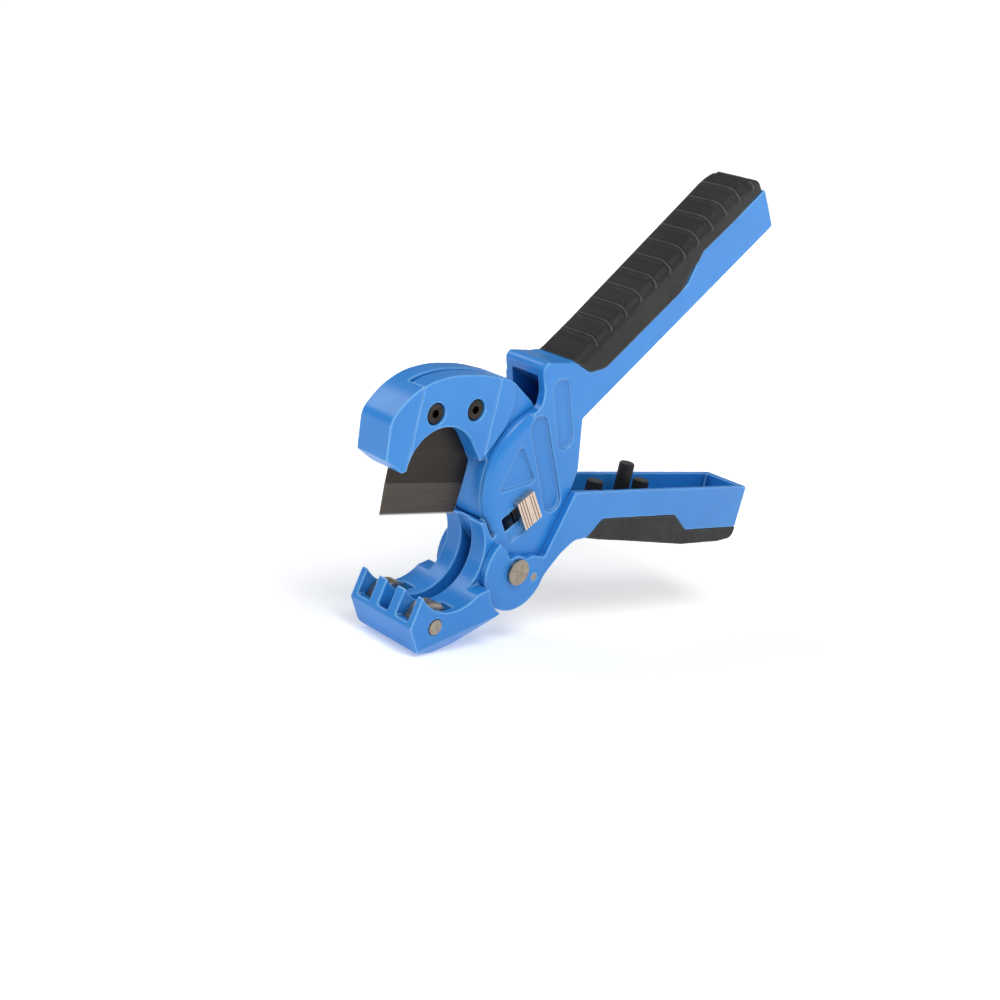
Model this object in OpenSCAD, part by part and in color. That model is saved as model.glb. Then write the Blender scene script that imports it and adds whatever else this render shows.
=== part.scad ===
// Ratcheting one-hand pipe cutter.
// The origin lies on the axis of the pipe that sits in the jaw, in the plane of the blade.
// +X runs towards the handles, +Z is up, and Y is the tool's thickness (the front side is -Y).

/* [Capacity] */
// Radius of the jaw's cradle, which holds the largest pipe
cradle_r = 19.2; // [18.6:0.1:19.6]
// Radius of the throat cut in the blade carrier
throat_r = 17; // [16:0.5:17.5]

/* [Widths] */
// Thickness of the main frame
frame_w = 22; // [21.6:0.1:22]
// Width of the lower jaw
jaw_w = 35.4; // [34:0.2:36]
// Thickness of the blade carrier's head
head_w = 17; // [16:0.5:18]
// Thickness of the part of the carrier that turns inside the frame
sector_w = 13.8; // [13:0.1:13.9]
// Width of the slot in the frame that the carrier turns in
slot_w = 14.4; // [14.2:0.1:14.6]

/* [Pivots] */
// Radius of the carrier's pivot pin
carrier_pin_r = 4; // [3.5:0.25:4.25]
// Radius of the handle's pivot pin
handle_pin_r = 3; // [2.5:0.25:3.25]
// Radius of the pawl pin
pawl_pin_r = 1.5; // [1.25:0.05:1.6]
// Radial running clearance of the turning parts
running = 0.05; // [0.03:0.01:0.1]

/* [Rollers] */
// Radius of the two pipe rollers
roller_r = 8.6; // [8:0.1:8.7]
// Radius of the roller pins
roller_pin_r = 3; // [2.5:0.25:3.25]

/* [Blade] */
// Thickness of the blade
blade_t = 1.5; // [1.2:0.1:1.6]
// Height of the ground bevel above the cutting edge
bevel_h = 12.4; // [8:0.2:14]

/* [Hidden] */
$fn = 48;
eps = 0.02;

// Points in the side view are [x, z].
carrier_pivot = [43.7, 29.3];
handle_pivot = [36, -6];
pawl_pivot = [47, -9];
roller_axis = [-5, -24.8];
throat_centre = [-10, 33];
screw_points = [[-18, 54.6], [1.6, 56.5]];
latch_rest = [36.5, 18.6];
latch_angle = 37;
latch_window = [12, 3.5];
latch_travel = 7;
button_h = 2.7;

frame_y = frame_w / 2;
jaw_y = jaw_w / 2;
head_y = head_w / 2;
sector_y = sector_w / 2;
slot_y = slot_w / 2;
blade_y = blade_t / 2;
screw_seat = 3.6;
cheek_gap = 0.15;
cheek_in = frame_y + cheek_gap;
cheek_out = 14.3;
cheek_edge_r = 30.7;
lug_r = 16.6;
sector_r = 30.3;
cavity_r = 30.9;
tooth_tip_r = 12.6;
tooth_depth = 1.9;
tooth_count = 22;
tooth_pitch = 360 / tooth_count;

// Outer ribs hold the roller pins, inner ribs flank the blade slot.
blade_slot_y = 2.9;
inner_rib_y = 7.6;
outer_rib_y = 14.7;
roller_gap = 0.3;

// The upper handle runs along its own axes: u along the grip, v across it.
handle_origin = [58, 55];
handle_angle = 43.3;
grip_y = 11.5;
grip_core_y = 9.2;

// Lower handle: an open channel with a rubber grip below it
handle_end = 178.9;
handle_wall = 2.1;
channel_floor = 10.6;
lower_core_y = 9;
post_x = 105.2;
post_r = 3.3;
stud_x = [87.4, 117.2];
stud_r = 3.5;
plug_r = 2.5;

blade_edge_z = 13.9;
pivot_head_h = 1.4;
pivot_head_r = 6.2;

function unit(v) = v / norm(v);
function corner(p, a, b, r, n) =
    let (u = unit(a - p), w = unit(b - p), half = acos(u * w) / 2,
        c = p + unit(u + w) * (r / sin(half)),
        s = p + u * (r / tan(half)), e = p + w * (r / tan(half)),
        a0 = atan2(s.y - c.y, s.x - c.x), a1 = atan2(e.y - c.y, e.x - c.x),
        da = ((a1 - a0 + 540) % 360) - 180)
    r == 0 ? [p] : [for (i = [0:n]) c + r * [cos(a0 + da * i / n), sin(a0 + da * i / n)]];
// Outline through [x, y, corner radius] points
function rounded(v, n = 6) = [for (i = [0:len(v) - 1])
    let (m = len(v), p = v[i], a = v[(i + m - 1) % m], b = v[(i + 1) % m])
    each corner([p.x, p.y], [a.x, a.y], [b.x, b.y], p.z, n)];
function arc(c, r, a0, a1, n = 16) =
    [for (i = [0:n]) let (a = a0 + (a1 - a0) * i / n) c + r * [cos(a), sin(a)]];

// Extrudes a side-view outline from y0 to y1
module slab(y0, y1) translate([0, y1, 0]) rotate([90, 0, 0]) linear_extrude(y1 - y0) children();
// Round bar along Y at side-view point p
module rod(p, r, y0, y1) translate([p.x, y1, p.y]) rotate([90, 0, 0]) cylinder(r = r, h = y1 - y0);
// Cone frustum along Y: radius ra at y0, rb at y1
module taper(p, ra, rb, y0, y1)
    translate([p.x, y0, p.y]) rotate([-90, 0, 0]) cylinder(r1 = ra, r2 = rb, h = y1 - y0);
module disc(p, r) translate(p) circle(r);
module stadium(p, q, r) {
    a = atan2(q.y - p.y, q.x - p.x);
    polygon(concat(arc(p, r, a + 90, a + 270), arc(q, r, a - 90, a + 90)));
}
module along_handle() translate(handle_origin) rotate(handle_angle) children();

// Coil about the Z axis, from z = 0, made as a swept tube with flat ends
module coil(r, wire_r, pitch, turns, steps = 20, sides = 8) {
    count = round(turns * steps);
    ring = [for (i = [0:count]) let (a = 360 * i / steps)
        for (k = [0:sides - 1]) let (b = 360 * k / sides, d = r + wire_r * cos(b))
            [d * cos(a), d * sin(a), pitch * i / steps + wire_r * sin(b)]];
    sides_faces = [for (i = [0:count - 1]) for (k = [0:sides - 1])
        let (k2 = (k + 1) % sides, p = i * sides, q = p + sides) [p + k, p + k2, q + k2, q + k]];
    polyhedron(ring, concat([[for (k = [sides - 1:-1:0]) k]], sides_faces,
        [[for (k = [0:sides - 1]) count * sides + k]]), convexity = 6);
}

// ---- Main frame: body, upper handle core and lower jaw in one casting ----

module jaw_outline() polygon(concat(
    arc([0, 0], cradle_r, 317, 226.5, 14),
    rounded([[-14.4, -12.6, 0], [-15.1, -13.6, 0], [-17.8, -24.6, 0.8], [-11.2, -35.4, 3],
        [-1, -36.8, 9], [10, -34, 16], [24, -25, 0], [34, -18, 0], [30, -8, 0]])));

module body_outline() polygon(concat(
    arc(carrier_pivot, cheek_edge_r, 116, 211, 20),
    [[14.6, 13.4]],
    arc([0, 0], cradle_r, 42, -48, 16),
    [[20, -24.4]],
    rounded([[31, -20.2, 3], [45, -18, 6], [56, -7, 6], [59, 18, 20], [62.3, 34, 8], [58, 55.3, 0],
        [74, 70.1, 0], [66, 86, 0]]),
    [[60.5, 87.8], [55.8, 83.2], [51.8, 79.7], [47.2, 77.7]],
    rounded([[42, 76.8, 0], [28.2, 76.6, 3], [30.6, 71.5, 8], [33.2, 65, 6], [33.7, 58.6, 4.5],
        [30.24, 56.9, 0]])));

module handle_outline() along_handle() polygon(rounded([[-4, 0, 0], [125.2, 0, 1],
    [126.6, 17.5, 2], [126.2, 26.6, 5], [112, 27.2, 20], [26, 23.4, 10], [6, 24.6, 0]]));

// Side view of the rubber grip on the upper handle
module grip_outline() along_handle() polygon(rounded([[6.6, 24.8, 0], [11.6, 15, 5],
    [19, 11, 5], [72, 11, 4], [84.5, 18.1, 3], [127, 17.6, 0], [126.8, 27.4, 5.2],
    [112, 28.2, 20], [26, 24.6, 14], [10, 24.4, 0]]));

// The handle core that the grip is moulded on
module grip_core() along_handle() polygon(rounded([[3, 9, 0], [122, 9, 0], [123.6, 18, 0],
    [123.6, 24, 3], [112, 24.4, 0], [26, 20.8, 0], [9, 21.4, 0]]));

// Slot that the carrier and the pawl work in
module cavity_outline() {
    intersection() {
        disc(carrier_pivot, cavity_r);
        polygon([[0, 13.9], [15, 13.9], [22, 6.5], [34, -3], [57.4, -3], [58.6, 20], [60, 34],
            [57, 49], [50, 62], [0, 70]]);
    }
    polygon([[0, 40], [20, 45], [50, 45], [56, 51], [50, 64], [33, 70.6], [0, 70.6]]);
    polygon(rounded([[41.6, -14, 3], [52, -14, 4], [56, -4, 3], [57.6, 20, 0], [41.6, 20, 0]]));
}

module label_pocket() stadium([42, 66.4], [50.8, 46.6], 4.2);
module long_pocket() stadium([34.6, 51.4], [51.2, 21.4], 4.5);
module triangle_pocket() polygon(rounded([[27.2, 44.4, 1.4], [20.2, 25, 1], [39, 29.6, 1.2]]));
// The latch moves along its own axes: x along the slide, y across it.
module beside_latch() translate(latch_rest) rotate(latch_angle) children();
module latch_opening() beside_latch() polygon(rounded([[-latch_window.x, latch_window.y, 0.8],
    [-latch_window.x, -latch_window.y, 0.8], [3.4, -latch_window.y, 0.8],
    [3.4, latch_window.y, 0.8]]));
// Shallow bed beside the opening
module latch_ledge() beside_latch() polygon(rounded([[-latch_window.x, latch_window.y, 0.8],
    [-latch_window.x, -8.8, 2], [6, -8.8, 1], [6, latch_window.y, 1]]));

// Soft outer rim of the two cheeks beside the carrier
module cheek_rim() intersection() {
    translate([carrier_pivot.x, 0, carrier_pivot.y]) rotate([90, 0, 0]) rotate_extrude($fn = 96)
        polygon([[26.6, frame_y + eps], [28.8, frame_y - 0.5], [30.2, frame_y - 1.5],
            [31, frame_y - 3], [31.2, frame_y + 1], [26.6, frame_y + 1]]);
    slab(-frame_y - 2, -frame_y + 4) polygon([[5, 60], [29.4, 57.6], [30.6, 54], [31, 40],
        [31, 20], [22, 6], [5, 10]]);
}

module jaw_slots() {
    for (side = [-1, 1])
        slab(side > 0 ? inner_rib_y : -outer_rib_y, side > 0 ? outer_rib_y : -inner_rib_y) {
            disc(roller_axis, roller_r + 0.6);
            polygon([[-30, 0], [-30, -22.6], [-13, -22.6], [-5, -24.8], [4.4, -24.8], [6, -10],
                [0, 0]]);
        }
    slab(-blade_slot_y, blade_slot_y) difference() {
        intersection() {
            disc([0, 0], 30.4);
            disc(carrier_pivot, 84);
            polygon([[-40, -22.6], [-16, -22.6], [-16, -40], [40, -40], [40, 20], [-40, 20]]);
        }
        disc(carrier_pivot, 32.4);
    }
}

module jaw_blank() difference() {
    slab(-jaw_y, jaw_y) jaw_outline();
    // lugs of the lower handle turn beside the neck
    for (side = [-1, 1])
        rod(handle_pivot, 17.4, side > 0 ? frame_y : -jaw_y - 1, side > 0 ? jaw_y + 1 : -frame_y);
    // steep chamfers along the bottom edges
    for (side = [0, 1]) mirror([0, side, 0])
        translate([-11.9, -jaw_y, -33.9]) rotate([0, -16.5, 0]) rotate([-57, 0, 0])
            translate([-14, -3, -14]) cube([64, 12, 14]);
}

module main_frame() color("#4a98e8") difference() {
    union() {
        slab(-frame_y, frame_y) body_outline();
        difference() {
            slab(-frame_y, frame_y) handle_outline();
            slab(-frame_y - 1, frame_y + 1) grip_outline();
        }
        slab(-grip_core_y, grip_core_y) grip_core();
        jaw_blank();
    }
    // bed of the grip where it meets the body
    for (side = [-1, 1])
        slab(side > 0 ? grip_core_y : -frame_y - 1, side > 0 ? frame_y + 1 : -grip_core_y)
            grip_outline();
    slab(-slot_y, slot_y) cavity_outline();
    jaw_slots();
    for (side = [0, 1]) mirror([0, side, 0]) {
        cheek_rim();
        slab(-frame_y - 1, -frame_y + 1.1) {
            label_pocket();
            triangle_pocket();
        }
        slab(-frame_y - 1, -frame_y + 1.3) long_pocket();
    }
    // latch opening, its ledge and the bed of the slider behind it
    slab(-frame_y - 1, -slot_y) latch_opening();
    slab(-frame_y - 1, -frame_y + 1) latch_ledge();
    slab(-slot_y - 2, -slot_y + eps) beside_latch() translate([-5.6 - latch_travel, -7])
        square([13.2 + latch_travel, 14]);
    rod(carrier_pivot, carrier_pin_r, -frame_y + 1.7, frame_y + 1);
    rod(carrier_pivot, pivot_head_r + 0.1, frame_y - pivot_head_h - 0.1, frame_y + 1);
    // pocket for the handle's return spring
    rod(handle_pivot, 6.5, 7.8, frame_y + 1);
    rod(handle_pivot, handle_pin_r, -20, 20);
    for (side = [-1, 1]) {
        rod(roller_axis, roller_pin_r, side > 0 ? 3.4 : -20, side > 0 ? 20 : -3.4);
        taper(roller_axis, side > 0 ? roller_pin_r : 3.9, side > 0 ? 3.9 : roller_pin_r,
            side > 0 ? jaw_y - 0.7 : -jaw_y - eps, side > 0 ? jaw_y + eps : -jaw_y + 0.7);
    }
    // curved slots that the pawl pin passes through
    slab(-frame_y - 1, frame_y + 1) pawl_pin_path();
}

module pawl_pin_path() {
    reach = norm(pawl_pivot - handle_pivot);
    start = atan2(pawl_pivot.y - handle_pivot.y, pawl_pivot.x - handle_pivot.x);
    low = start - 2;
    high = start + 30;
    w = pawl_pin_r + 0.3;
    polygon(concat(arc(handle_pivot, reach + w, low, high),
        arc(handle_pivot + reach * [cos(high), sin(high)], w, high, high + 180, 10),
        arc(handle_pivot, reach - w, high, low),
        arc(handle_pivot + reach * [cos(low), sin(low)], w, low + 180, low + 360, 10)));
}

module upper_grip() color("#303030") difference() {
    slab(-grip_y, grip_y) grip_outline();
    slab(-grip_core_y, grip_core_y) grip_core();
    slab(-grip_core_y, grip_core_y) body_outline();
}

// ---- Lower handle ----

// Plan view of the handle: widest at the pivot, narrow at the end
module handle_plan(wall = 0) {
    half = [for (p = [[10, cheek_out], [60, cheek_out], [88, 13.3]]) [p.x, p.y - wall]];
    end = [handle_end - 1.4 * wall, 11.1 - wall];
    side = concat(half, [end]);
    polygon(concat(side, [for (i = [len(side) - 1:-1:0]) [side[i].x, -side[i].y]]));
}

// Lug round the pivot, cut away above so that it clears the thumb latch
module lug_outline() {
    disc(handle_pivot, 6.4);
    difference() {
        disc(handle_pivot, lug_r);
        polygon([[12, 14], [28.4, 2.6], [31.5, -1], [40.5, -1], [44.5, 0.2], [50.2, -0.8], [60, 12],
            [40, 30]]);
    }
}

module lower_outline() {
    lug_outline();
    polygon(rounded([[40, -4, 0], [49.2, -4.6, 0], [60.4, 25.9, 1],
        [179, 25.9, 1.2], [177.8, 6.5, 0], [174.6, 2.8, 0], [143, 2.8, 0], [134, 9, 0], [80, 9, 0],
        [73.4, 6.1, 4], [66, 5.2, 6], [59.6, 0.2, 8], [54.4, -6.2, 1], [48, -16, 3],
        [36, -22.6, 0]]));
}

module lower_grip_outline() polygon(rounded([[73.6, 6, 0], [81.5, 14, 3], [130, 14, 2.5],
    [140.4, 6.6, 2.5], [177.7, 6.6, 0], [177, 1.6, 4], [168, 0.3, 6], [140, 0.1, 30],
    [100, 3.6, 30], [82, 5, 10]]));

module lower_grip_core() polygon([[78, 8.2], [84, 11], [131, 11], [140, 6.6], [173, 6.6],
    [173, 3], [140, 2.8], [102, 6.4], [84, 7.6]]);

module lower_handle() color("#4a98e8") difference() {
    union() {
        intersection() {
            difference() {
                slab(-25, 25) lower_outline();
                slab(-26, 26) lower_grip_outline();
            }
            translate([0, 0, -40]) linear_extrude(80) handle_plan();
        }
        slab(-lower_core_y, lower_core_y) lower_grip_core();
    }
    // room for the frame between the two cheeks
    slab(-cheek_in, cheek_in) polygon([[0, -40], [74, -40], [74, 5.6], [77, 8.6], [84, 40],
        [0, 40]]);
    // open channel
    translate([0, 0, channel_floor]) linear_extrude(40) intersection() {
        handle_plan(handle_wall);
        translate([77, -30]) square([98, 60]);
    }
    rod(handle_pivot, handle_pin_r + running, -25, 25);
    rod(pawl_pivot, pawl_pin_r, -25, 25);
    post_hole();
}

// Hole that the plug of the rubber post snaps into
module post_hole() translate([post_x, 0, 7]) cylinder(r = plug_r, h = 5);

module lower_grip() color("#303030") difference() {
    intersection() {
        slab(-20, 20) lower_grip_outline();
        translate([0, 0, -40]) linear_extrude(80) handle_plan(-0.3);
    }
    slab(-lower_core_y, lower_core_y) {
        lower_grip_core();
        polygon([[60, 9], [81.5, channel_floor], [134, channel_floor], [134, 20], [60, 20]]);
        difference() {
            lower_outline();
            polygon([[60, -20], [190, -20], [190, 2.8], [143, 2.8], [134, 9], [60, 9]]);
        }
    }
    translate([0, 0, channel_floor]) linear_extrude(40) handle_plan(handle_wall);
    post_hole();
}

// Rubber post between two studs, all on one base that stands on the channel floor
module handle_bumper() color("#262626") {
    translate([stud_x[0] - 4.6, -4.6, channel_floor])
        cube([stud_x[1] - stud_x[0] + 9.2, 9.2, 2.4]);
    translate([post_x, 0, 7.2]) cylinder(r = plug_r, h = 6);
    upright(post_x, post_r, 34);
    for (x = stud_x) upright(x, stud_r, 26.4);
}

// Round bar standing on the base, with its top edge chamfered
module upright(x, r, top) translate([x, 0, 0]) {
    rim = 0.7;
    translate([0, 0, 12]) cylinder(r = r, h = top - rim - 12);
    translate([0, 0, top - rim]) cylinder(r1 = r, r2 = r - rim, h = rim);
}

// ---- Blade carrier ----

module head_outline() polygon(concat(
    arc(throat_centre, throat_r, 180, 42, 20),
    rounded([[9.2, 36.9, 0.4], [14.2, 43.4, 3], [18.6, 50.4, 12], [21.4, 61, 12], [17.6, 68.6, 4],
        [3, 70.4, 60], [-12, 69.8, 46], [-24, 66.6, 29], [-33, 60.2, 30], [-39.2, 51.6, 8],
        [-37.6, 37, 0.5], [-29.2, 32.4, 0.5]])));

// Strip that the cover fills, drawn in by gap so that its parting lines show
module cover_strip(gap = 0) polygon([[-27.6 + gap, 20], [10.4 - gap, 20], [10.6 - gap, 43],
    [11.5 - gap, 90], [-26 + gap, 90]]);

// Part of the carrier inside the frame: sector, hub and ratchet teeth
module sector_outline() {
    polygon(concat(
        arc(carrier_pivot, sector_r, 166, 213, 10),
        [[31, 14], [38, 17], [54, 25], [54, 38], [47, 47], [31, 60.5], [20, 67.4], [11, 68],
            [10.8, 40]]));
    ratchet_outline();
}

module ratchet_outline() {
    root = tooth_tip_r - tooth_depth;
    translate(carrier_pivot) polygon([for (i = [0:tooth_count - 1]) let (a = i * tooth_pitch + 4)
        each [root * [cos(a), sin(a)], tooth_tip_r * [cos(a), sin(a)],
            (tooth_tip_r - 0.1) * [cos(a + 2), sin(a + 2)]]]);
}

module screw_holes(r, y0, y1) for (p = screw_points) rod(p, r, y0, y1);

module blade_carrier() color("#4a98e8") difference() {
    union() {
        slab(-head_y, head_y) head_outline();
        difference() {
            slab(-sector_y, sector_y) sector_outline();
            slab(-sector_y - 1, sector_y + 1) disc(throat_centre, throat_r + 1);
            // the toothed side of the hub is narrower
            for (side = [-1, 1])
                slab(side > 0 ? 4.6 : -sector_y - 1, side > 0 ? sector_y + 1 : -4.6)
                    difference() {
                        disc(carrier_pivot, 20);
                        disc(carrier_pivot, 10.6);
                        polygon([[0, -10], [34, -10], [38, 40], [52, 70], [0, 80]]);
                    }
        }
    }
    // seat of the cover and the blade
    slab(-head_y - 1, blade_y) cover_strip();
    slab(-blade_y - eps, blade_y) blade_outline();
    screw_holes(2, -head_y - 1, head_y - 2.5);
    rod(carrier_pivot, carrier_pin_r + 1.2, -20, 20);
    // pocket for the return spring
    rod(carrier_pivot, 9.2, 2.6, 20);
}

module carrier_cover() color("#4a98e8") difference() {
    slab(-head_y, -blade_y) intersection() {
        difference() {
            head_outline();
            translate([0, 80]) square([200, 18], center = true);
        }
        cover_strip(0.1);
    }
    screw_holes(2.15, -20, 20);
    for (p = screw_points) {
        rod(p, 4.2, -20, -head_y + screw_seat);
        taper(p, 4.7, 4.2, -head_y - eps, -head_y + 0.5);
    }
    // relief along the top, so the parting line shows
    slab(-head_y - 1, 1) difference() {
        translate([-40, 55]) square([60, 30]);
        translate([0, -0.35]) head_outline();
        translate([-40, 50]) square([60, 10]);
    }
}

module blade_outline() polygon(rounded([[-28.1, blade_edge_z, 0], [9.3, blade_edge_z, 0], [10.5, 35.2, 3],
    [-0.2, 47.2, 3], [6.4, 53, 3], [6.4, 61.2, 3], [-22, 61.2, 4], [-27.7, 51, 3]]));

module blade() color("#4a4541") difference() {
    slab(-blade_y, blade_y) blade_outline();
    screw_holes(2.1, -5, 5);
    // double bevel down to the cutting edge
    slope = atan(blade_y / bevel_h);
    edge_y = 0.05;
    for (side = [0, 1]) mirror([0, side, 0])
        translate([-40, 0, blade_edge_z]) rotate([slope, 0, 0])
            translate([0, -3 - edge_y, -4]) cube([60, 3, 4 + bevel_h / cos(slope)]);
}

module blade_screws() color("#3a3634") for (p = screw_points) {
    rod(p, 2, -head_y + screw_seat - 0.1, head_y - 3);
    difference() {
        rod(p, 3.6, -head_y + 0.9, -head_y + screw_seat);
        translate([p.x, -head_y + 2.9, p.y]) rotate([90, 0, 0]) cylinder(r = 1.75, h = 4, $fn = 6);
    }
}

// ---- Pivots, springs and ratchet ----

module carrier_pivot_pin() color("#8f8a84") {
    rod(carrier_pivot, carrier_pin_r, -frame_y + 1.8, frame_y - 0.5);
    rod(carrier_pivot, pivot_head_r, frame_y - pivot_head_h, frame_y - 0.05);
}

module carrier_bush() color("#b08d57") difference() {
    rod(carrier_pivot, carrier_pin_r + 1.2, -sector_y, sector_y);
    rod(carrier_pivot, carrier_pin_r + running, -20, 20);
}

module carrier_spring() color("#8f8a84")
    translate([carrier_pivot.x, 6.1, carrier_pivot.y]) rotate([90, 0, 0])
        coil(7.2, 0.55, 1.25, 2.2, 24);

module handle_pivot_pin() color("#8f8a84") difference() {
    union() {
        rod(handle_pivot, handle_pin_r, -cheek_out - 0.1, cheek_out + 2);
        rod(handle_pivot, 5.2, -cheek_out - 1.5, -cheek_out - 0.1);
    }
    // groove for the retaining clip
    difference() {
        rod(handle_pivot, handle_pin_r + 1, cheek_out + 0.2, cheek_out + 1.2);
        rod(handle_pivot, handle_pin_r - 0.6, 0, cheek_out + 3);
    }
}

// Open retaining ring
module clip(p, inner, outer, y0, y1) difference() {
    rod(p, outer, y0, y1);
    rod(p, inner, y0 - 1, y1 + 1);
    translate([p.x, y0 - 1, p.y - inner * 0.75]) cube([outer * 2, 5, inner * 1.5]);
}

module handle_pin_clip() color("#6d6a66")
    clip(handle_pivot, handle_pin_r - 0.6, 5, cheek_out + 0.25, cheek_out + 1.15);

module handle_spring() color("#8f8a84")
    translate([handle_pivot.x, frame_y - 0.6, handle_pivot.y]) rotate([90, 0, 0])
        coil(5.6, 0.55, 1.2, 1.6, 24);

// Strut that pushes the ratchet teeth; it rises beside them as the handle is squeezed
module pawl_outline() {
    disc(pawl_pivot, 3.6);
    polygon([[43.6, -8], [50.4, -8], [54.6, 2], [57.3, 12], [57.7, 22.4], [56.5, 22.6],
        [55.5, 19], [52.8, 14.4], [49, 6]]);
}

module pawl() color("#7a7570") difference() {
    slab(-4, 4) pawl_outline();
    rod(pawl_pivot, pawl_pin_r + running, -20, 20);
}

module pawl_pin() color("#8f8a84") difference() {
    rod(pawl_pivot, pawl_pin_r, -cheek_out + 0.4, cheek_out + 1.6);
    difference() {
        rod(pawl_pivot, pawl_pin_r + 1, cheek_out + 0.2, cheek_out + 1);
        rod(pawl_pivot, pawl_pin_r - 0.4, 0, cheek_out + 3);
    }
}

module pawl_pin_clip() color("#6d6a66")
    clip(pawl_pivot, pawl_pin_r - 0.4, 3, cheek_out + 0.25, cheek_out + 0.95);

module pawl_spring() color("#8f8a84")
    translate([pawl_pivot.x, 6.6, pawl_pivot.y]) rotate([90, 0, 0])
        coil(2.4, 0.3, 0.75, 2.6, 16, 6);

// ---- Thumb latch ----

module on_latch() translate([latch_rest.x, 0, latch_rest.y]) rotate([0, -latch_angle, 0]) children();

module latch_button() color("#b5ab97") on_latch() difference() {
    union() {
        translate([-4.6, -frame_y - button_h, -6.6]) cube([9.2, button_h - 0.15, 13.2]);
        translate([-2.6, -frame_y - 1, 0.3 - latch_window.y])
            cube([5.2, frame_y - slot_y - 0.9, 2 * latch_window.y - 0.6]);
    }
    // grip grooves, in two groups beside a flat land
    for (x = [-3.4, -2.1, -0.8, 2, 3.3])
        translate([x - 0.25, -frame_y - button_h - 0.1, -8]) cube([0.5, 0.8, 16]);
    translate([0, -frame_y, 0]) rotate([-90, 0, 0]) cylinder(r = 1, h = 10);
}

module latch_slider() color("#8f8a84") on_latch() difference() {
    translate([-5, -slot_y - 1.85, -6.3]) cube([10, 1.7, 12.6]);
    rotate([90, 0, 0]) cylinder(r = 1.05, h = 40);
    translate([0, -slot_y - 1, 0]) rotate([-90, 0, 0]) cylinder(r = 2.1, h = 4);
}

module latch_screw() color("#6d6a66") on_latch() {
    translate([0, -slot_y - 0.9, 0]) rotate([-90, 0, 0]) cylinder(r = 2, h = 0.7);
    translate([0, -slot_y - 2.9, 0]) rotate([-90, 0, 0]) cylinder(r = 1, h = 2.1);
}

module latch_spring() color("#8f8a84") on_latch()
    translate([5.3, -slot_y - 1, -5]) rotate([0, 90, 0]) coil(0.6, 0.18, 0.55, 3.4, 10, 5);

// ---- Rollers ----

module roller(side) {
    mid = side * (inner_rib_y + outer_rib_y) / 2;
    half = (outer_rib_y - inner_rib_y) / 2 - roller_gap;
    difference() {
        union() {
            rod(roller_axis, roller_r, mid - half + 0.5, mid + half - 0.5);
            taper(roller_axis, roller_r - 0.5, roller_r, mid - half, mid - half + 0.5);
            taper(roller_axis, roller_r, roller_r - 0.5, mid + half - 0.5, mid + half);
        }
        rod(roller_axis, roller_pin_r + running, mid - 10, mid + 10);
    }
}

module roller_front() color("#8c7f72") roller(-1);
module roller_rear() color("#8c7f72") roller(1);

module roller_pins() color("#9a8f84") for (side = [-1, 1])
    rod(roller_axis, roller_pin_r, side > 0 ? 3.5 : -jaw_y + 0.2, side > 0 ? jaw_y - 0.2 : -3.5);

main_frame();
upper_grip();
lower_handle();
lower_grip();
handle_bumper();
blade_carrier();
carrier_cover();
blade();
blade_screws();
carrier_pivot_pin();
carrier_bush();
carrier_spring();
handle_pivot_pin();
handle_pin_clip();
handle_spring();
pawl();
pawl_pin();
pawl_pin_clip();
pawl_spring();
latch_button();
latch_slider();
latch_screw();
latch_spring();
roller_front();
roller_rear();
roller_pins();
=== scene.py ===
import math

import bmesh
import bpy
import numpy as np
from mathutils import Matrix, Vector


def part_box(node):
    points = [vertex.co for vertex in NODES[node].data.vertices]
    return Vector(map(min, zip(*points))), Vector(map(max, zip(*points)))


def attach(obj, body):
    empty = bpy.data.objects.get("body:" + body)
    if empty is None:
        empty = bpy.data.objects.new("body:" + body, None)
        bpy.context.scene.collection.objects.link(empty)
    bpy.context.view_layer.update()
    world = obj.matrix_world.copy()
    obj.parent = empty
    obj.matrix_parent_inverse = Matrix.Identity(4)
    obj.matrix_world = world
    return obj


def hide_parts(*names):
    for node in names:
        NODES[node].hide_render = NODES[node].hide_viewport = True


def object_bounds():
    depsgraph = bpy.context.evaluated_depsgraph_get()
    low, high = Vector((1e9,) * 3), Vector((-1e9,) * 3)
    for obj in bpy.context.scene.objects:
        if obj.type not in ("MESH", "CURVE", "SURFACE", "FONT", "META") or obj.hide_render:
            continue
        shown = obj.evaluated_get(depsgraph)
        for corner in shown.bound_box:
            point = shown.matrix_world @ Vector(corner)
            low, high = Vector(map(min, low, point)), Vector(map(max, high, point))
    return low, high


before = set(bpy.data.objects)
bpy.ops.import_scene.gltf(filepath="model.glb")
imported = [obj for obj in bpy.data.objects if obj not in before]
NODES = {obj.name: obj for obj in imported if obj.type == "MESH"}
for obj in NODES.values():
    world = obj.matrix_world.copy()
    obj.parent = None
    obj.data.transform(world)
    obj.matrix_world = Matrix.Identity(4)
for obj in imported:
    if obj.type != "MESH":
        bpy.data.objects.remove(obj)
bpy.context.view_layer.update()
cad_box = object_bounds()

MM = 0.001


# ---- Materials ----

def srgb(r, g, b):
    """Linear colour of an 8-bit sRGB one."""
    def linear(c):
        c /= 255
        return c / 12.92 if c <= 0.04045 else ((c + 0.055) / 1.055) ** 2.4
    return (linear(r), linear(g), linear(b), 1.0)


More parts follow.
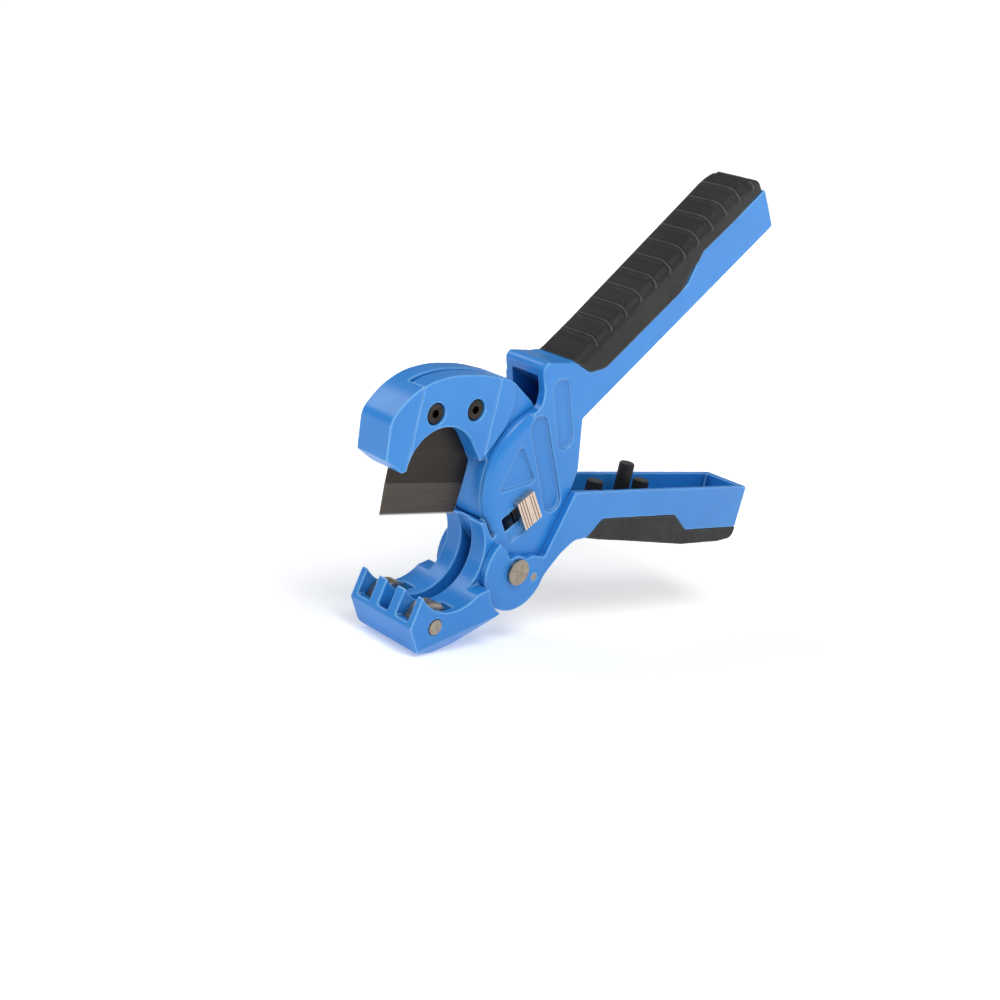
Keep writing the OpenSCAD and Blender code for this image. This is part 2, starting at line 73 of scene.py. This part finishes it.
class Finish:
    """A Principled material, with short calls for its procedural nodes. Its textures are in metres."""

    def __init__(self, name, metallic=0.0):
        self.material = bpy.data.materials.new(name)
        self.material.use_nodes = True
        self.tree = self.material.node_tree
        self.shader = self.tree.nodes["Principled BSDF"]
        self.shader.inputs["Metallic"].default_value = metallic
        self.place = self.node("ShaderNodeTexCoord").outputs["Object"]

    def node(self, kind, inputs=None, **settings):
        made = self.tree.nodes.new(kind)
        for key, value in settings.items():
            setattr(made, key, value)
        for key, value in (inputs or {}).items():
            if isinstance(value, bpy.types.NodeSocket):
                self.tree.links.new(value, made.inputs[key])
            else:
                made.inputs[key].default_value = value
        return made

    def noise(self, size, detail=2.0, stretch=None):
        """Noise whose features are about size metres across, stretched along each axis by stretch."""
        place = self.place
        if stretch:
            scale = [1 / s for s in stretch]
            place = self.node("ShaderNodeMapping", {"Vector": place, "Scale": scale}).outputs[0]
        texture = self.node("ShaderNodeTexNoise", {"Vector": place, "Scale": 1 / size, "Detail": detail})
        return texture.outputs["Fac"]

    def ramp(self, value, *stops):
        """Colours or values by position: each stop is (position, colour)."""
        made = self.node("ShaderNodeValToRGB", {"Fac": value})
        while len(made.color_ramp.elements) < len(stops):
            made.color_ramp.elements.new(0.5)
        for element, (position, colour) in zip(made.color_ramp.elements, stops):
            element.position = position
            element.color = colour if isinstance(colour, tuple) else (colour, colour, colour, 1)
        return made.outputs["Color"]

    def range(self, value, low, high, to_low, to_high):
        inputs = {"Value": value, 1: low, 2: high, 3: to_low, 4: to_high}
        return self.node("ShaderNodeMapRange", inputs).outputs["Result"]

    def mix(self, factor, a, b, kind="MIX"):
        made = self.node("ShaderNodeMix", data_type="RGBA", blend_type=kind)
        for index, value in ((0, factor), (6, a), (7, b)):
            if isinstance(value, bpy.types.NodeSocket):
                self.tree.links.new(value, made.inputs[index])
            else:
                made.inputs[index].default_value = value
        return made.outputs[2]

    def edges(self, radius):
        """0 on open faces, rising to 1 within radius of an edge: the mask for painted edge highlights."""
        bevel = self.node("ShaderNodeBevel", {"Radius": radius}, samples=4).outputs["Normal"]
        normal = self.node("ShaderNodeNewGeometry").outputs["Normal"]
        dot = self.node("ShaderNodeVectorMath", {0: bevel, 1: normal}, operation="DOT_PRODUCT")
        return self.range(dot.outputs["Value"], 0.998, 0.95, 0.0, 1.0)

    def crevices(self, reach):
        """1 on open faces, falling towards 0 in the piece's own corners and slots: the mask for painted
        shade.
        """
        inputs = {"Distance": reach}
        return self.node("ShaderNodeAmbientOcclusion", inputs, samples=8, only_local=True).outputs["AO"]

    def bump(self, height, depth, strength=1.0, under=None):
        inputs = {"Height": height, "Distance": depth, "Strength": strength}
        if under is not None:
            inputs["Normal"] = under
        return self.node("ShaderNodeBump", inputs).outputs["Normal"]

    def set(self, **sockets):
        for key, value in sockets.items():
            socket = self.shader.inputs[key.replace("_", " ")]
            if isinstance(value, bpy.types.NodeSocket):
                self.tree.links.new(value, socket)
            else:
                socket.default_value = value
        return self


def painted_casting():
    """Glossy blue powder coat with orange peel; painted shade darkens its corners and a painted highlight
    lightens its edges.
    """
    f = Finish("painted_casting")
    shade = f.ramp(f.noise(30 * MM, 3), (0.3, srgb(34, 124, 204)), (0.7, srgb(42, 133, 213)))
    # Painted shade: the colour darkens to navy in the piece's own corners and slots.
    shade = f.mix(f.range(f.crevices(5 * MM), 0.35, 0.95, 0.0, 1.0), srgb(14, 52, 104), shade)
    # Painted highlight: the colour turns light blue along the edges.
    highlit_edges = f.mix(f.edges(0.8 * MM), shade, srgb(142, 202, 250))
    rough = f.range(f.noise(6 * MM, 4), 0.3, 0.7, 0.32, 0.42)
    peel = f.bump(f.noise(1.1 * MM, 2), 0.05 * MM, 0.25)
    speck = f.bump(f.noise(0.25 * MM, 1), 0.02 * MM, 0.12, peel)
    f.set(Base_Color=highlit_edges, Roughness=rough, Normal=speck)
    return f.set(Specular_IOR_Level=0.35, Coat_Weight=0.2, Coat_Roughness=0.2).material


def moulded_rubber(name="moulded_rubber", tone=35):
    """Soft black rubber: fine grain, dusty patches, and a painted sheen that lightens its raised edges."""
    f = Finish(name)
    dust = f.noise(18 * MM, 5)
    colour = f.ramp(dust, (0.35, srgb(tone, tone, tone)), (0.75, srgb(tone + 9, tone + 9, tone + 10)))
    raised = f.node("ShaderNodeNewGeometry").outputs["Pointiness"]
    sheen_tone = tone + 52
    # Painted sheen: raised edges and rib crests turn lighter grey.
    colour = f.mix(f.range(raised, 0.505, 0.56, 0.0, 0.8), colour, srgb(sheen_tone, sheen_tone, sheen_tone))
    rough = f.range(f.noise(4 * MM, 4), 0.3, 0.7, 0.5, 0.64)
    grain = f.bump(f.noise(0.45 * MM, 3), 0.06 * MM, 0.35)
    f.set(Base_Color=colour, Roughness=rough, Normal=grain)
    return f.set(Specular_IOR_Level=0.26, Sheen_Weight=0.02, Sheen_Roughness=0.4).material


def machined(name, dark, light, rough=0.32, grain=(1, 1, 1), size=2.0 * MM):
    """Bare metal with fine machining marks along one axis and a painted highlight along its edges."""
    f = Finish(name, metallic=1.0)
    marks = f.noise(size, 4, grain)
    cloud = f.noise(9 * MM, 3)
    colour = f.mix(f.range(cloud, 0.3, 0.7, 0.0, 0.5), f.ramp(marks, (0.3, dark), (0.7, light)), dark)
    # Painted highlight: the colour turns to the light tone along the edges.
    bright = f.mix(f.edges(0.3 * MM), colour, light)
    f.set(Base_Color=bright, Roughness=f.range(marks, 0.3, 0.7, rough - 0.06, rough + 0.1))
    return f.set(Normal=f.bump(marks, 0.03 * MM, 0.3)).material


# Heights above the blade's cutting edge, each with half the width of its border
BEVEL_TOP, BEVEL_BORDER = 12.4 * MM, 0.2 * MM
HONED_TOP, HONED_BORDER = 0.55 * MM, 0.15 * MM


def ground_blade():
    """Dark hardened blade: brushed faces, a wide ground bevel coloured lighter as a painted reflection,
    and a bright honed edge.
    """
    f = Finish("ground_blade", metallic=1.0)
    lowest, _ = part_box("blade")
    height = f.node("ShaderNodeSeparateXYZ", {0: f.place}).outputs["Z"]
    bevel, edge = lowest.z + BEVEL_TOP, lowest.z + HONED_TOP
    ground = f.range(height, bevel - BEVEL_BORDER, bevel + BEVEL_BORDER, 1.0, 0.0)
    honed = f.range(height, edge - HONED_BORDER, edge + HONED_BORDER, 1.0, 0.0)
    brushed = f.noise(0.5 * MM, 3, (30, 1, 1))
    stain = f.noise(14 * MM, 4)
    face = f.ramp(brushed, (0.25, srgb(54, 51, 48)), (0.75, srgb(64, 60, 56)))
    face = f.mix(f.range(stain, 0.35, 0.7, 0.0, 0.35), face, srgb(46, 43, 40))
    # Painted reflection: the ground bevel is coloured lighter than the faces.
    bevel_reflection = f.ramp(brushed, (0.25, srgb(76, 70, 65)), (0.75, srgb(90, 84, 78)))
    colour = f.mix(ground, face, bevel_reflection)
    colour = f.mix(honed, colour, srgb(176, 172, 166))
    rough = f.range(brushed, 0.2, 0.8, 0.34, 0.46)
    f.set(Base_Color=colour, Roughness=rough, Normal=f.bump(brushed, 0.02 * MM, 0.25))
    return f.set(Anisotropic=0.4).material


PAINT = painted_casting()
RUBBER = moulded_rubber()
POST_RUBBER = moulded_rubber("post_rubber", 27)
BLADE = ground_blade()
BLACK_STEEL = machined("blackened_steel", srgb(38, 36, 34), srgb(70, 66, 62), 0.32)
PIN_STEEL = machined("pin_steel", srgb(138, 126, 112), srgb(186, 174, 158), 0.3, (1, 1, 1))
ROLLER_STEEL = machined("roller_steel", srgb(150, 136, 122), srgb(204, 188, 172), 0.36, (1, 8, 1))
SPRING_STEEL = machined("spring_steel", srgb(120, 116, 110), srgb(190, 186, 180), 0.25)
NICKEL = machined("brushed_nickel", srgb(190, 172, 156), srgb(232, 216, 202), 0.3, (1, 1, 6), 0.8 * MM)
BRONZE = machined("sintered_bronze", srgb(150, 112, 66), srgb(196, 156, 104), 0.4, (1, 1, 1), 0.6 * MM)

NODE_FINISH = {
    "blade": BLADE, "blade_screws": BLACK_STEEL, "carrier_bush": BRONZE,
    "carrier_pivot_pin": PIN_STEEL, "carrier_spring": SPRING_STEEL, "handle_bumper": POST_RUBBER,
    "handle_pin_clip": BLACK_STEEL, "handle_pivot_pin": PIN_STEEL, "handle_spring": SPRING_STEEL,
    "latch_button": NICKEL, "latch_screw": BLACK_STEEL, "latch_slider": PIN_STEEL,
    "latch_spring": SPRING_STEEL, "pawl": PIN_STEEL, "pawl_pin": PIN_STEEL,
    "pawl_pin_clip": BLACK_STEEL, "pawl_spring": SPRING_STEEL, "roller_front": ROLLER_STEEL,
    "roller_pins": PIN_STEEL, "roller_rear": ROLLER_STEEL, "main_frame": PAINT,
    "lower_handle": PAINT, "blade_carrier": PAINT, "carrier_cover": PAINT,
    "upper_grip": RUBBER, "lower_grip": RUBBER,
}


def paint_nodes():
    for name, finish in NODE_FINISH.items():
        for slot in NODES[name].material_slots:
            slot.material = finish


# ---- Soft-edged casts of the CAD shapes ----

def baked(obj):
    """obj's mesh with its modifiers applied."""
    bpy.context.view_layer.update()
    graph = bpy.context.evaluated_depsgraph_get()
    return bpy.data.meshes.new_from_object(obj.evaluated_get(graph))


def modified(mesh, kind, **settings):
    """The mesh after one modifier."""
    holder = bpy.data.objects.new("holder", mesh)
    bpy.context.scene.collection.objects.link(holder)
    modifier = holder.modifiers.new("step", kind)
    for key, value in settings.items():
        setattr(modifier, key, value)
    result = baked(holder)
    bpy.data.objects.remove(holder)
    return result


def soft_mesh(node, voxel, rounds):
    """A dense copy of a CAD node's mesh whose edges are rounded off."""
    mesh = NODES[node].data.copy()
    work = bmesh.new()
    work.from_mesh(mesh)
    bmesh.ops.remove_doubles(work, verts=work.verts, dist=0.001 * MM)
    work.to_mesh(mesh)
    work.free()
    mesh = modified(mesh, "REMESH", mode="VOXEL", voxel_size=voxel, adaptivity=0.0)
    return modified(mesh, "SMOOTH", factor=0.5, iterations=rounds)


def cast_piece(name, node, body, mesh, faces, finish):
    """A piece from a dense mesh, thinned to about the number of faces and put in place of its CAD node."""
    count = len(mesh.polygons) * 2
    if count > faces:
        mesh = modified(mesh, "DECIMATE", ratio=faces / count)
    mesh.materials.clear()
    mesh.materials.append(finish)
    mesh.polygons.foreach_set("use_smooth", [True] * len(mesh.polygons))
    mesh.polygons.foreach_set("material_index", [0] * len(mesh.polygons))
    piece = bpy.data.objects.new(name, mesh)
    bpy.context.scene.collection.objects.link(piece)
    piece.modifiers.new("flat_faces", "WEIGHTED_NORMAL").keep_sharp = False
    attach(piece, body)
    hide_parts(node)
    return piece


def smooth_step(x, low, high):
    t = np.clip((x - low) / (high - low), 0, 1)
    return t * t * (3 - 2 * t)


def vectors(mesh, key):
    values = np.zeros(len(mesh.vertices) * 3)
    mesh.vertices.foreach_get(key, values)
    return values.reshape(-1, 3)


def moved(mesh, points):
    mesh.vertices.foreach_set("co", points.ravel())
    mesh.update()
    return mesh


VOXEL = 0.36 * MM
ROUNDS = 6
# Where the frame is smoothed further, along its top front edge up to the grip:
# spheres on the +y side, each a centre and a radius in millimetres
SOFT_REGIONS = [((28, 11, 77), 5), ((36, 11, 76.8), 5), ((44, 11, 77.2), 5), ((52, 11, 80.4), 5),
                ((60, 11, 87.6), 6), ((69, 11, 86), 5), ((31, 11, 71), 4)]
CASTINGS = [
    ("frame_casting", "main_frame", "frame", 110000),
    ("handle_casting", "lower_handle", "handle", 60000),
    ("carrier_casting", "blade_carrier", "carrier", 60000),
    ("cover_casting", "carrier_cover", "carrier", 24000),
]


def softened(mesh, regions, rounds):
    """The mesh with the chosen regions, and their mirror images, smoothed further."""
    smooth = modified(mesh.copy(), "SMOOTH", factor=0.5, iterations=rounds)
    points, softer = vectors(mesh, "co"), vectors(smooth, "co")
    weight = np.zeros(len(points))
    one_side = points / MM
    one_side[:, 1] = np.abs(one_side[:, 1])
    for centre, radius in regions:
        gap = np.linalg.norm(one_side - np.array(centre), axis=1)
        weight = np.maximum(weight, 1 - smooth_step(gap, 0.5 * radius, radius))
    return moved(mesh, points + (softer - points) * weight[:, None])


def make_castings():
    for name, node, body, faces in CASTINGS:
        mesh = soft_mesh(node, VOXEL, ROUNDS)
        if node == "main_frame":
            mesh = softened(mesh, SOFT_REGIONS, 60)
        cast_piece(name, node, body, mesh, faces, PAINT)


# ---- Grips ----

# The upper handle's own frame: u runs along it, v across it
HANDLE_ORIGIN = Vector((58 * MM, 0, 55 * MM))
HANDLE_TURN = math.radians(43.3)
GRIP_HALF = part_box("upper_grip")[1].y
GRIP_RADIUS = 4.2 * MM
# How much further the grip's end is rounded along the handle than across it
END_STRETCH = 1.7


def along_handle(vectors):
    """Vectors turned so that u runs along the upper handle, v across it and y stays."""
    x, y, z = vectors.T
    cos, sin = math.cos(HANDLE_TURN), math.sin(HANDLE_TURN)
    return np.stack([x * cos + z * sin, z * cos - x * sin, y], axis=1)


def outermost(place, values, size=0.5 * MM):
    """For each point, the greatest value near the same place."""
    bins = np.round((place - place.min()) / size).astype(int)
    top = np.full(bins.max() + 1, -np.inf)
    np.maximum.at(top, bins, values)
    filled = np.flatnonzero(np.isfinite(top))
    top = np.interp(np.arange(len(top)), filled, top[filled])
    top = np.convolve(np.pad(top, 3, mode="edge"), np.ones(7) / 7, mode="valid")
    return np.interp((place - place.min()) / size, np.arange(len(top)), top)


def rounded_over(mesh, radius):
    """Rounds the edges between a grip's top, sides and end; the end is stretched by END_STRETCH."""
    points = vectors(mesh, "co")
    local = along_handle(points - np.array(HANDLE_ORIGIN))
    u, v, y = local.T
    stretch = np.array([END_STRETCH, 1, 1])
    side = np.abs(y)
    gaps = np.stack([outermost(v, u) - u, outermost(u, v) - v, outermost(u, side) - side], axis=1)
    inset = np.clip(radius - gaps / stretch, 0, radius)
    length = np.linalg.norm(inset, axis=1)
    scale = np.where(length > 1e-9, inset.max(axis=1) / np.maximum(length, 1e-9), 1)
    outward = np.stack([np.ones_like(u), np.ones_like(u), np.sign(y)], axis=1)
    local += inset * (scale[:, None] - 1) * outward * stretch
    cos, sin = math.cos(HANDLE_TURN), math.sin(HANDLE_TURN)
    u, v, y = local.T
    turned = np.stack([u * cos - v * sin, y, u * sin + v * cos], axis=1)
    return moved(mesh, turned + np.array(HANDLE_ORIGIN))


def displaced(mesh, height):
    """Moves each vertex along its normal by height(u, v, y, up), in millimetres."""
    points, normals = vectors(mesh, "co"), vectors(mesh, "normal")
    u, v, y = along_handle(points - np.array(HANDLE_ORIGIN)).T / MM
    up = along_handle(normals)[:, 1]
    return moved(mesh, points + normals * height(u, v, y, up)[:, None] * MM)


# Ribs of the upper grip, in millimetres; the first and last are places along the handle
RIDGES = 12
RIDGE_FIRST, RIDGE_LAST = 20.8, 121.0
RIDGE_HEIGHT, RIDGE_WIDTH = 0.9, 0.55
HOOK = 2.2
# Height v below which, and width y beyond which, the front shoulder turns down
SHOULDER_V, SHOULDER_Y = 24.5, -6


def ridge_height(u, v, y, up):
    """Thin raised ribs across the top of the grip, each hooked back at the front shoulder."""
    across = -y + np.where(y < SHOULDER_Y, SHOULDER_V - np.minimum(v, SHOULDER_V), 0)
    hook = HOOK * np.clip((across - 4) / 9, 0, 1) ** 2
    step = (RIDGE_LAST - RIDGE_FIRST) / (RIDGES - 1)
    along = u - RIDGE_FIRST + hook
    k = np.clip(np.round(along / step), 0, RIDGES - 1)
    d = along - k * step
    lean = 1 + 0.3 * smooth_step(across, 6, 12)
    rib = RIDGE_HEIGHT * np.exp(-(d / (RIDGE_WIDTH * lean)) ** 2)
    scoop = -0.16 * np.exp(-((d + 2.0) / 1.3) ** 2)
    shown = smooth_step(up, -0.1, 0.2) * (1 - smooth_step(across, 12, 13.5))
    shown *= 1 - smooth_step(y, GRIP_HALF / MM - 4.5, GRIP_HALF / MM - 3)
    return (rib + scoop) * shown


def make_grips():
    grip_voxel = 0.3 * MM
    upper = soft_mesh("upper_grip", grip_voxel, 10)
    upper = rounded_over(upper, GRIP_RADIUS)
    upper = modified(upper, "SMOOTH", factor=0.5, iterations=10)
    upper = displaced(upper, ridge_height)
    cast_piece("upper_grip_moulding", "upper_grip", "frame", upper, 90000, RUBBER)
    lower = soft_mesh("lower_grip", grip_voxel, 14)
    cast_piece("lower_grip_moulding", "lower_grip", "handle", lower, 40000, RUBBER)


# ---- Stage, light and camera ----

def area_light(name, place, target, size, power, colour=(1, 1, 1)):
    lamp = bpy.data.lights.new(name, "AREA")
    lamp.shape = "SQUARE"
    lamp.size = size
    lamp.energy = power
    lamp.color = colour
    obj = bpy.data.objects.new(name, lamp)
    bpy.context.scene.collection.objects.link(obj)
    obj.location = place
    obj.rotation_mode = "QUATERNION"
    obj.rotation_quaternion = (Vector(target) - Vector(place)).to_track_quat("-Z", "Y")
    return obj


FLOOR_SIZE = 12
AMBIENT, BACKDROP = 0.27, 1.05


def make_floor(place):
    bpy.ops.mesh.primitive_plane_add(size=FLOOR_SIZE, location=place)
    floor = bpy.context.object
    floor.name = "floor"
    f = Finish("pale_floor")
    reach = f.node("ShaderNodeVectorMath", {0: f.place}, operation="LENGTH").outputs["Value"]
    glow = f.range(reach, 0.15, 0.6, 0.35, 1.0)
    mottle = f.ramp(f.noise(0.4, 2), (0.3, (0.93, 0.93, 0.93, 1)), (0.7, (0.95, 0.95, 0.95, 1)))
    f.set(Base_Color=mottle, Roughness=0.9, Emission_Color=(1, 1, 1, 1), Emission_Strength=glow)
    floor.data.materials.append(f.material)


def make_world():
    """A white studio that the camera sees brighter than it lights the object."""
    world = bpy.data.worlds.new("studio")
    world.use_nodes = True
    nodes, links = world.node_tree.nodes, world.node_tree.links
    back = nodes["Background"]
    back.inputs["Color"].default_value = (1, 1, 1, 1)
    path = nodes.new("ShaderNodeLightPath")
    level = nodes.new("ShaderNodeMapRange")
    level.inputs["To Min"].default_value = AMBIENT
    level.inputs["To Max"].default_value = BACKDROP
    links.new(path.outputs["Is Camera Ray"], level.inputs["Value"])
    links.new(level.outputs["Result"], back.inputs["Strength"])
    bpy.context.scene.world = world


def make_stage():
    low, high = cad_box
    middle = (low + high) / 2
    make_floor((middle.x, middle.y, low.z))
    make_world()
    area_light("key", middle + Vector((-0.35, -0.55, 0.9)), middle, 0.55, 7)
    area_light("fill", middle + Vector((0.9, -0.7, 0.35)), middle, 0.8, 2.3)
    area_light("rim", middle + Vector((-0.5, 0.8, 0.7)), middle, 0.5, 3.2)
    bpy.context.scene.view_settings.view_transform = "Standard"


VIEW_AZIMUTH, VIEW_ELEVATION, VIEW_ROLL = map(math.radians, (-47.34, 13.41, 12.55))
VIEW_TARGET = Vector((33.3 * MM, 0, 18.6 * MM))
VIEW_DISTANCE = 0.6195
# A 35 degree field of view, in millimetres
LENS, SENSOR = 57.24, 36


def make_camera():
    lens = bpy.data.cameras.new("camera")
    lens.lens, lens.sensor_width = LENS, SENSOR
    lens.clip_start, lens.clip_end = 0.01, 50
    camera = bpy.data.objects.new("camera", lens)
    bpy.context.scene.collection.objects.link(camera)
    back = Vector((math.sin(VIEW_AZIMUTH) * math.cos(VIEW_ELEVATION),
                   -math.cos(VIEW_AZIMUTH) * math.cos(VIEW_ELEVATION), math.sin(VIEW_ELEVATION)))
    turn = (-back).to_track_quat("-Z", "Y").to_matrix().to_4x4()
    camera.matrix_world = (Matrix.Translation(VIEW_TARGET + back * VIEW_DISTANCE) @ turn
                           @ Matrix.Rotation(VIEW_ROLL, 4, "Z"))
    bpy.context.scene.camera = camera


paint_nodes()
make_castings()
make_grips()
make_stage()
make_camera()

bpy.context.view_layer.update()
